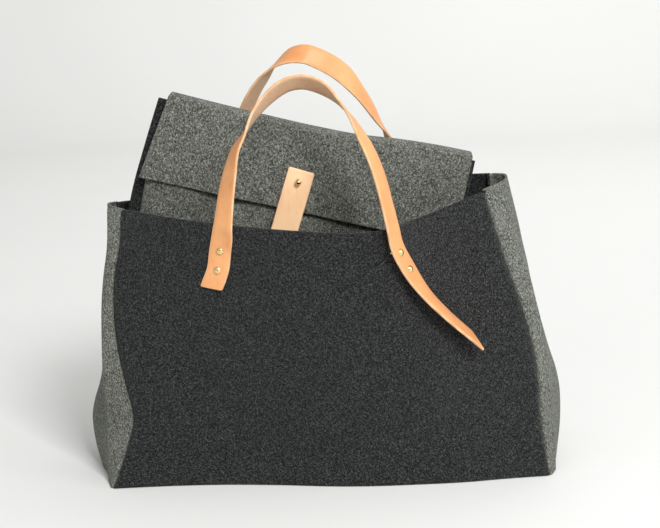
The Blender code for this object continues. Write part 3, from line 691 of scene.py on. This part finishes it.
def strip_mesh(name, centres, normals, across, width, thickness, ends, skews=(0, 0), grain=None):
    """A leather strip along a path. ends gives each end's corner radius, skews how far each cut slants."""
    run = np.concatenate([[0], np.cumsum(np.linalg.norm(np.diff(centres, axis=0), axis=1))])
    half, deep = width / 2, thickness / 2
    along = unit(np.gradient(centres, axis=0))
    slant = skews[0] * hill(run, 0, START_SLANT) + skews[1] * hill(run, run[-1], END_SLANT)
    narrow = np.full(len(run), half)
    for distance, radius in ((run, ends[0]), (run[-1] - run, ends[1])):
        short = np.clip(radius - distance, 0, radius)
        narrow = np.minimum(narrow, half - radius + np.sqrt(radius ** 2 - short ** 2))
    # One turn round the section: the grain side, a cut edge, the flesh side and the other cut edge.
    flat = (-1, -0.6, -0.2, 0.2, 0.6, 1.0)
    level = np.ones(len(run))
    points = [(f * (narrow - EDGE_SOFT), level * (deep - CROWN * f * f)) for f in flat]
    points += [(narrow, level * (deep - EDGE_SOFT)), (narrow, level * (EDGE_SOFT - deep))]
    points += [(f * (narrow - EDGE_SOFT), -level * deep) for f in flat[::-1]]
    points += [(-narrow, level * (EDGE_SOFT - deep)), (-narrow, level * (deep - EDGE_SOFT))]
    cross = across + along * slant[:, None]
    columns = [centres + cross * a[:, None] + normals * h[:, None] for a, h in points]
    mesh = grid_mesh(name, np.stack(columns, 1), closed_across=True)
    count = len(points)
    obj = place(name, mesh)
    bm = bmesh.new()
    bm.from_mesh(mesh)
    bm.verts.ensure_lookup_table()
    first = bm.faces.new([bm.verts[i] for i in range(count)][::-1])
    last = bm.faces.new([bm.verts[(len(run) - 1) * count + i] for i in range(count)])
    bm.faces.ensure_lookup_table()
    side_of = [0] * 5 + [1] * 3 + [2] * 5 + [1] * 3      # grain, cut edge, flesh, cut edge
    for index, face in enumerate(bm.faces):
        face.material_index = 1 if face in (first, last) else side_of[index % count]
        face.smooth = True
    bmesh.ops.recalc_face_normals(bm, faces=bm.faces)
    bm.to_mesh(mesh)
    bm.free()
    for finish in (grain or leather_grain, leather_edge, leather_flesh):
        mesh.materials.append(finish)
    return obj


WALL_TOP = 0.302            # above this a strap takes the wall's shape at this height
NEAR_ENDS = np.array([0.0008, 0.002, 0.0035])
TANGENT_REACH = 0.001


def filled_stations(stations, wall):
    """Stations with every value filled in. A turned strap stands off far enough to clear the wall."""
    filled = []
    for x, y, z, facing in stations:
        if y is None:
            point, normal = on_wall(wall, x, min(z, WALL_TOP))
            flush = math.degrees(math.atan2(math.copysign(normal[0], normal[0] * x), -normal[1]))
            facing = flush if facing is None else facing
            lift = FLUSH_LIFT + abs(math.sin(math.radians(facing - flush))) * STRAP_WIDTH / 2
            y = point[1] + math.copysign(lift / abs(normal[1]), normal[1])
        filled.append((x, y, z, facing))
    return np.array(filled)


def strap_path(stations, wall, count):
    """Centres, grain-side normals and sideways directions along a strap."""
    filled = filled_stations(stations, wall)
    run = np.concatenate([[0], np.cumsum(np.linalg.norm(np.diff(filled[:, :3], axis=0), axis=1))])
    keyed = np.concatenate([run[:, None], filled], 1)
    d = np.linspace(0, run[-1], count)
    d = np.sort(np.concatenate([d, NEAR_ENDS, run[-1] - NEAR_ENDS]))
    value = smooth(keyed, d)
    ahead = smooth(keyed, np.minimum(d + TANGENT_REACH, run[-1]))
    behind = smooth(keyed, np.maximum(d - TANGENT_REACH, 0))
    tangent = unit(ahead[:, :3] - behind[:, :3])
    towards = unit(np.array((0.0, -1.0, 0.0)) - tangent * -tangent[:, 1:2])
    outward = unit(np.cross(towards, tangent))
    turn = np.radians(value[:, 3:4])
    normal = towards * np.cos(turn) + outward * np.sin(turn)
    return value[:, :3], normal, np.cross(tangent, normal)


END_SKEWS = {"front": (0.22, 0.75), "back": (0.0, 0.0)}
END_RADII = (0.0012, 0.0016)


def make_handle(side, stations, wall):
    centres, normals, across = strap_path(stations, wall, 280)
    strap = strip_mesh(side + "_handle_strap", centres, normals, across, STRAP_WIDTH, STRAP_THICKNESS,
                       END_RADII, END_SKEWS[side])
    finished(strap, None, "natural_leather", None, side + "_handle_loop", side + "_handle_left_end",
             side + "_handle_right_end")
    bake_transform(strap)
    return centres, normals


front_path = make_handle("front", FRONT_STRAP, front_wall)
back_path = make_handle("back", BACK_STRAP, back_wall)


# Tab

TAB_RADII = (0.0015, 0.006)


def on_tab(across, out, up):
    """A point from its place on the tab: across, out towards the front, and up from its rivet."""
    c, s = math.cos(TAB_TILT), math.sin(TAB_TILT)
    return TAB_RIVET + np.array((across * c + up * s, -out, -across * s + up * c))


def make_tab():
    along = np.linspace(TAB_ABOVE, -TAB_BELOW, 60)
    centres = np.array([on_tab(0, 0, a) for a in along])
    normals = np.tile((0.0, -1.0, 0.0), (len(along), 1))
    across = np.tile(on_tab(-1, 0, 0) - on_tab(0, 0, 0), (len(along), 1))
    # The tab takes the paler leather copy, whose extra lightness is painted light.
    tab = strip_mesh("closing_tab", centres, normals, across, TAB_WIDTH, TAB_THICKNESS, TAB_RADII,
                     grain=painted_light_tab_grain)
    finished(tab, None, "natural_leather", None, "closure_tab_top", "closure_tab_tongue")
    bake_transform(tab)


make_tab()


# What repeats: rivet caps and stitches, a rounded shape on each of a set of points

def repeating_tree(name):
    """A node tree that puts a rounded shape of a given size on every point, turned to its axis and run."""
    tree = bpy.data.node_groups.new(name, "GeometryNodeTree")
    tree.interface.new_socket("Geometry", in_out="INPUT", socket_type="NodeSocketGeometry")
    for socket in ("Length", "Width", "Height", "Foot"):
        tree.interface.new_socket(socket, in_out="INPUT", socket_type="NodeSocketFloat")
    for socket in ("Segments", "Rings"):
        tree.interface.new_socket(socket, in_out="INPUT", socket_type="NodeSocketInt")
    tree.interface.new_socket("Material", in_out="INPUT", socket_type="NodeSocketMaterial")
    tree.interface.new_socket("Geometry", in_out="OUTPUT", socket_type="NodeSocketGeometry")
    given, result = tree.nodes.new("NodeGroupInput"), tree.nodes.new("NodeGroupOutput")

    def node(kind, values=None, **settings):
        made = tree.nodes.new(kind)
        for key, value in settings.items():
            setattr(made, key, value)
        for key, value in (values or {}).items():
            if isinstance(value, bpy.types.NodeSocket):
                tree.links.new(value, made.inputs[key])
            else:
                made.inputs[key].default_value = value
        return made

    ball = node("GeometryNodeMeshUVSphere", {"Segments": given.outputs["Segments"],
                                                "Rings": given.outputs["Rings"], "Radius": 1.0})
    at = node("ShaderNodeSeparateXYZ", {0: node("GeometryNodeInputPosition").outputs[0]})

    def product(first, second):
        return node("ShaderNodeMath", {0: first, 1: second}, operation="MULTIPLY").outputs[0]

    x = product(at.outputs[0], product(given.outputs["Length"], 0.5))
    y = product(at.outputs[1], product(given.outputs["Width"], 0.5))
    dome = product(at.outputs[2], given.outputs["Height"])
    z = node("ShaderNodeMath", {0: dome, 1: given.outputs["Foot"]}, operation="MAXIMUM")
    squashed = node("ShaderNodeCombineXYZ", {0: x, 1: y, 2: z.outputs[0]})
    shape = node("GeometryNodeSetPosition", {"Geometry": ball.outputs[0], "Position": squashed.outputs[0]})
    axis = node("GeometryNodeInputNamedAttribute", {"Name": "axis"}, data_type="FLOAT_VECTOR")
    run = node("GeometryNodeInputNamedAttribute", {"Name": "run"}, data_type="FLOAT_VECTOR")
    upright = node("FunctionNodeAlignRotationToVector", {"Vector": axis.outputs[0]}, axis="Z")
    turned_along = node("FunctionNodeAlignRotationToVector",
                        {"Rotation": upright.outputs[0], "Vector": run.outputs[0]},
                        axis="X", pivot_axis="Z")
    points = node("GeometryNodeMeshToPoints", {"Mesh": given.outputs["Geometry"]})
    copies = node("GeometryNodeInstanceOnPoints",
                  {"Points": points.outputs[0], "Instance": shape.outputs[0],
                   "Rotation": turned_along.outputs[0]})
    solid = node("GeometryNodeRealizeInstances", {"Geometry": copies.outputs[0]})
    coloured = node("GeometryNodeSetMaterial",
                    {"Geometry": solid.outputs[0], "Material": given.outputs["Material"]})
    tree.links.new(coloured.outputs[0], result.inputs[0])
    return tree


round_shapes = repeating_tree("Round shapes")


def repeated(name, places, size, foot, detail, finish):
    """One mesh of rounded shapes, each place a (point, axis, run). size is length, width and height,
    foot the level of the flat underside, and detail the shape's segments and rings."""
    mesh = bpy.data.meshes.new(name)
    mesh.from_pydata([tuple(point) for point, _, _ in places], [], [])
    for index, attribute in ((1, "axis"), (2, "run")):
        vectors = mesh.attributes.new(attribute, "FLOAT_VECTOR", "POINT")
        vectors.data.foreach_set("vector", np.array([place[index] for place in places], np.float32).ravel())
    obj = place(name, mesh)
    modifier = obj.modifiers.new("Copies", "NODES")
    modifier.node_group = round_shapes
    values = dict(zip(("Length", "Width", "Height", "Foot", "Segments", "Rings"), (*size, foot, *detail)),
                  Material=finish)
    for socket in round_shapes.interface.items_tree:
        if socket.in_out == "INPUT" and socket.name in values:
            modifier[socket.identifier] = values[socket.name]
    return baked(obj)


# Rivets and studs

SEGMENTS = 32


def turned(name, profile, origin, axis):
    """A turned shape. profile is (radius, height), from the top down, and both ends are closed."""
    turn = Vector(axis).to_track_quat("Z", "Y")
    points, rings, faces = [], [], []
    for radius, height in profile:
        angles = [2 * math.pi * k / SEGMENTS for k in range(SEGMENTS)] if radius else [0]
        rings.append(range(len(points), len(points) + len(angles)))
        points += [Vector(origin) + turn @ Vector((radius * math.cos(a), radius * math.sin(a), height))
                   for a in angles]
    for upper, lower in zip(rings, rings[1:]):
        for k in range(SEGMENTS):
            quad = [upper[k % len(upper)], lower[k % len(lower)], lower[(k + 1) % len(lower)],
                    upper[(k + 1) % len(upper)]]
            faces.append(list(dict.fromkeys(quad)))
    mesh = bpy.data.meshes.new(name)
    mesh.from_pydata(points, [], faces)
    mesh.shade_smooth()
    return place(name, mesh)


RIVET_NUMBERS = (1, 2, 3, 4)
CAP_SIZE = (0.0089, 0.0089, 0.0027)
CAP_FOOT = -0.0001
CAP_DETAIL = (32, 20)


def rivets(side, path):
    """The domed caps on a handle's grain side, where the rivets' posts come through."""
    centres, normals = path
    caps = []
    for number in RIVET_NUMBERS:
        low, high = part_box(f"{side}_handle_rivet_{number}_cap")
        near = np.argmin(np.linalg.norm(centres - np.array((low + high) / 2), axis=1))
        normal = normals[near]
        top = centres[near] + normal * STRAP_THICKNESS / 2
        caps.append((top, normal, np.cross(normal, (0.0, 0.0, 1.0))))
    cap = repeated(side + "_handle_caps", caps, CAP_SIZE, CAP_FOOT, CAP_DETAIL, brass)
    finished(cap, "tote", "brass", None, *[f"{side}_handle_rivet_{n}_cap" for n in RIVET_NUMBERS])


rivets("front", front_path)
rivets("back", back_path)


# Stitches, in dark thread

STITCH_SIZE = (0.0034, 0.0009, 0.0005)
STITCH_PITCH = 0.0048
STITCH_FOOT = -0.0003
STITCH_DETAIL = (8, 6)
STITCH_LIFT = 0.0002
UNSTITCHED_LOW, UNSTITCHED_HIGH = 6, 2      # how many of a seam's points are left free at its ends
STITCH_INSET = 0.0085       # how far in from a corner seam the stitches run, along the allowances


def along_line(points, normals):
    """Evenly spaced places along a line of points, each with its normal and its run."""
    run = np.concatenate([[0], np.cumsum(np.linalg.norm(np.diff(points, axis=0), axis=1))])
    at = np.arange(STITCH_PITCH, run[-1] - STITCH_PITCH, STITCH_PITCH)

    def picked(values):
        return np.stack([np.interp(at, run, values[:, axis]) for axis in range(3)], 1)

    return list(zip(picked(points), unit(picked(normals)), unit(picked(np.gradient(points, axis=0)))))


def corner_stitches():
    """A row on each side of the four pairs of seam allowances inside the tote."""
    places = []
    sewn = slice(UNSTITCHED_LOW, -UNSTITCHED_HIGH)
    for seam, first, second in ((left_gusset.front, left_gusset.front_into, front_left_own),
                                (right_gusset.front, right_gusset.front_into, front_right_own),
                                (left_gusset.back, left_gusset.back_into, back_left_own),
                                (right_gusset.back, right_gusset.back_into, back_right_own)):
        inward = unit(first + second)
        for into in (first, second):
            side = unit(into - inward * dot(into, inward))
            row = seam + inward * STITCH_INSET * allowance_share + side * (FELT + STITCH_LIFT)
            places += along_line(row[sewn], side[sewn])
    stitches = repeated("corner_stitches", places, STITCH_SIZE, STITCH_FOOT, STITCH_DETAIL, thread)
    finished(stitches, "tote", None, None)


corner_stitches()


# The tab's stud: a ball on a neck and a foot

BALL_RADIUS, BALL_HEIGHT = 0.0034, 0.0050
STUD_FOOT = [(0.0017, 0.0016), (0.0020, 0.0010), (0.0036, 0.0008), (0.0038, 0.0004), (0.0037, 0.0),
             (0, 0.0)]

ball_angles = np.radians(np.arange(0, 151, 10))
stud_ball = [(BALL_RADIUS * math.sin(a), BALL_HEIGHT + BALL_RADIUS * math.cos(a)) for a in ball_angles]
tab_stud = turned("tab_stud_ball", stud_ball + STUD_FOOT, on_tab(0, TAB_THICKNESS / 2, 0), (0, -1, 0))
finished(tab_stud, "flap", "brass", brass, "tab_stud")

# The CAD's own pieces that stay in sight are brass.
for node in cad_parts.values():
    if not node.hide_render:
        for material_slot in node.material_slots:
            material_slot.material = brass


# Floor, light and camera

FLOOR_REACH = 5.0
CURVE_AT, CURVE_RADIUS = 2.8, 0.8
WALL_HEIGHT = 4.0


def sweep():
    """A pale floor that curves up into a backdrop."""
    profile = [(-FLOOR_REACH, 0.0), (CURVE_AT, 0.0)]
    profile += [(CURVE_AT + CURVE_RADIUS * math.sin(a), CURVE_RADIUS - CURVE_RADIUS * math.cos(a))
                for a in np.radians(np.linspace(5, 90, 18))]
    profile += [(CURVE_AT + CURVE_RADIUS, WALL_HEIGHT)]
    rows = [[(x, y, z) for x in (-FLOOR_REACH, FLOOR_REACH)] for y, z in profile]
    floor = place("floor", grid_mesh("floor", rows))
    floor.data.shade_smooth()
    paper = Finish("backdrop paper", Roughness=0.9, Specular_IOR_Level=0.1)
    tone = paper.noise(3, 2)
    paper.use("Base Color", paper.mixed(tone, (0.76, 0.765, 0.75, 1), (0.78, 0.785, 0.77, 1)))
    floor.data.materials.append(paper.material)


def area_light(name, place_at, aim, size, power):
    light = bpy.data.lights.new(name, "AREA")
    light.shape = "RECTANGLE"
    light.size, light.size_y = size
    light.energy = power
    obj = bpy.data.objects.new(name, light)
    obj.location = place_at
    obj.rotation_euler = (Vector(aim) - Vector(place_at)).to_track_quat("-Z", "Y").to_euler()
    bpy.context.scene.collection.objects.link(obj)


sweep()
area_light("window", (1.0, -2.7, 2.4), (0, 0, 0.25), (1.0, 1.0), 116)
area_light("side window", (2.8, -0.6, 1.6), (0, 0, 0.2), (2.0, 2.0), 26)
area_light("fill", (-2.2, -2.6, 2.2), (0, 0, 0.2), (2.0, 2.0), 6)
area_light("backdrop", (0.9, 1.7, 2.3), (0.5, 3.3, 0.3), (2.5, 1.5), 27)
world = bpy.data.worlds.new("room")
bpy.context.scene.world = world
world.use_nodes = True
room_light = world.node_tree.nodes["Background"].inputs
room_light["Color"].default_value = (1.0, 1.0, 0.985, 1)
room_light["Strength"].default_value = 0.50

CAMERA_PITCH = math.radians(12.0)
CAMERA_ROLL = math.radians(1.4)
CAMERA_DISTANCE = 1.9
CAMERA_AIM = Vector((0.003, -0.085, 0.256))
SENSOR_WIDTH, FOCAL_LENGTH = 36, 90.35

camera = bpy.data.objects.new("camera", bpy.data.cameras.new("camera"))
camera.data.sensor_width = SENSOR_WIDTH
camera.data.lens = FOCAL_LENGTH
bpy.context.scene.collection.objects.link(camera)
forward = Vector((0, math.cos(CAMERA_PITCH), -math.sin(CAMERA_PITCH)))
level = Vector((1, 0, 0))
upright = Vector((0, math.sin(CAMERA_PITCH), math.cos(CAMERA_PITCH)))
right = level * math.cos(CAMERA_ROLL) - upright * math.sin(CAMERA_ROLL)
upward = upright * math.cos(CAMERA_ROLL) + level * math.sin(CAMERA_ROLL)
turn = Matrix((right, upward, -forward)).transposed().to_4x4()
camera.matrix_world = Matrix.Translation(CAMERA_AIM - forward * CAMERA_DISTANCE) @ turn
bpy.context.scene.camera = camera
bpy.context.scene.view_settings.view_transform = "Standard"
